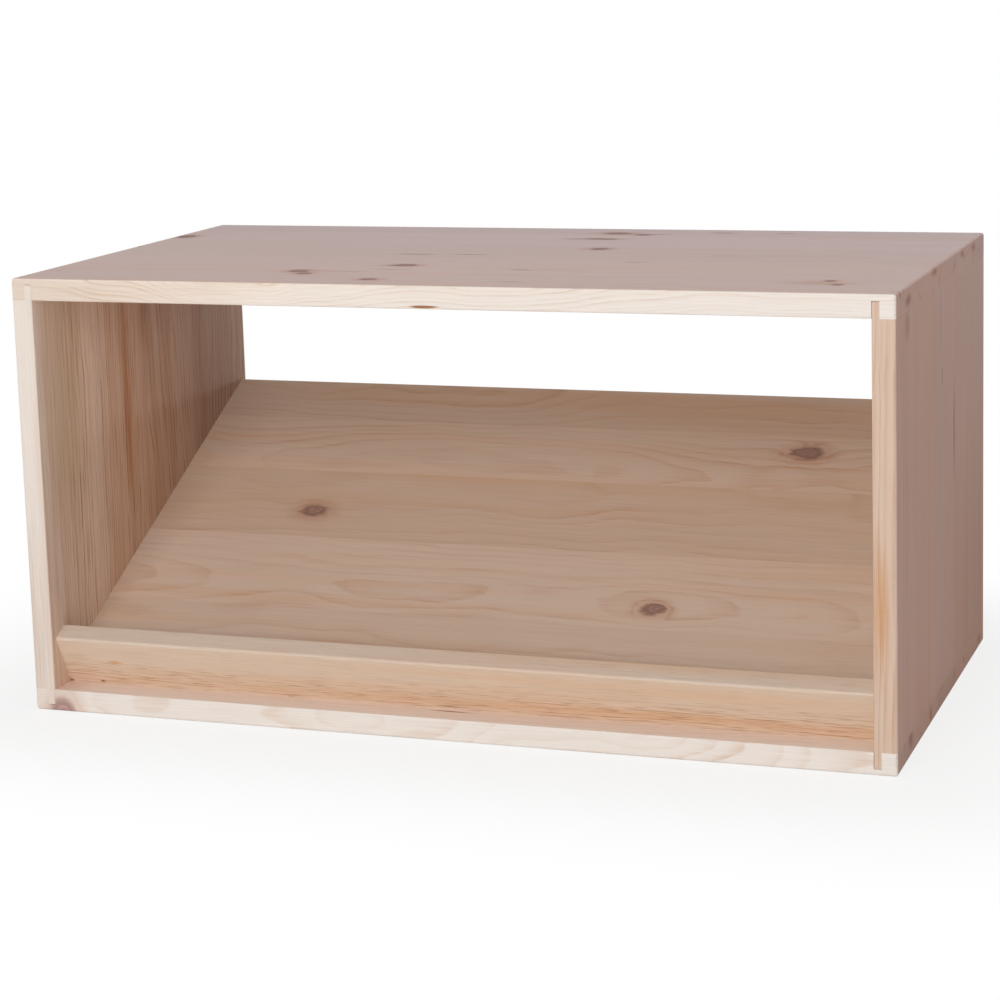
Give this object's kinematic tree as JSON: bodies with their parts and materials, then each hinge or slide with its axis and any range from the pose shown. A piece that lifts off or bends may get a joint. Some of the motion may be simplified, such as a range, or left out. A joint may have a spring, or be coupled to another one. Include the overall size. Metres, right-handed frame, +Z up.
{
  "type": "wine rack",
  "caption": "Low, wide open box of pine with a shelf sloping up to the open back and a lip at the front; holds wine bottles lying neck up for display.",
  "frame": {"origin": "on the floor, under the middle of the rack's box", "axes": "+X to the right along the width, front faces -Y, +Z up"},
  "size_m": [0.6, 0.325, 0.3],
  "materials": {
    "pine_top": "sanded, unfinished, edge-glued",
    "pine_bottom": "sanded, unfinished, edge-glued",
    "pine_side_left": "sanded, unfinished, edge-glued, grain upright",
    "pine_side_right": "sanded, unfinished, edge-glued, grain upright",
    "pine_lip": "sanded, unfinished",
    "pine_shelf": "sanded, unfinished, edge-glued",
    "pine_cleat": "planed, unfinished",
    "screw_steel": "yellow zinc plated",
    "beech_dowel": "plain"
  },
  "bodies": {
    "root": {"top_panel": "pine_top", "bottom_panel": "pine_bottom", "left_side": "pine_side_left", "right_side": "pine_side_right", "front_lip": "pine_lip", "sloping_shelf": "pine_shelf", "left_shelf_cleat": "pine_cleat", "right_shelf_cleat": "pine_cleat", "cleat_screws": "screw_steel", "shelf_screws": "screw_steel", "lip_dowels": "beech_dowel"}
  },
  "joints": []
}
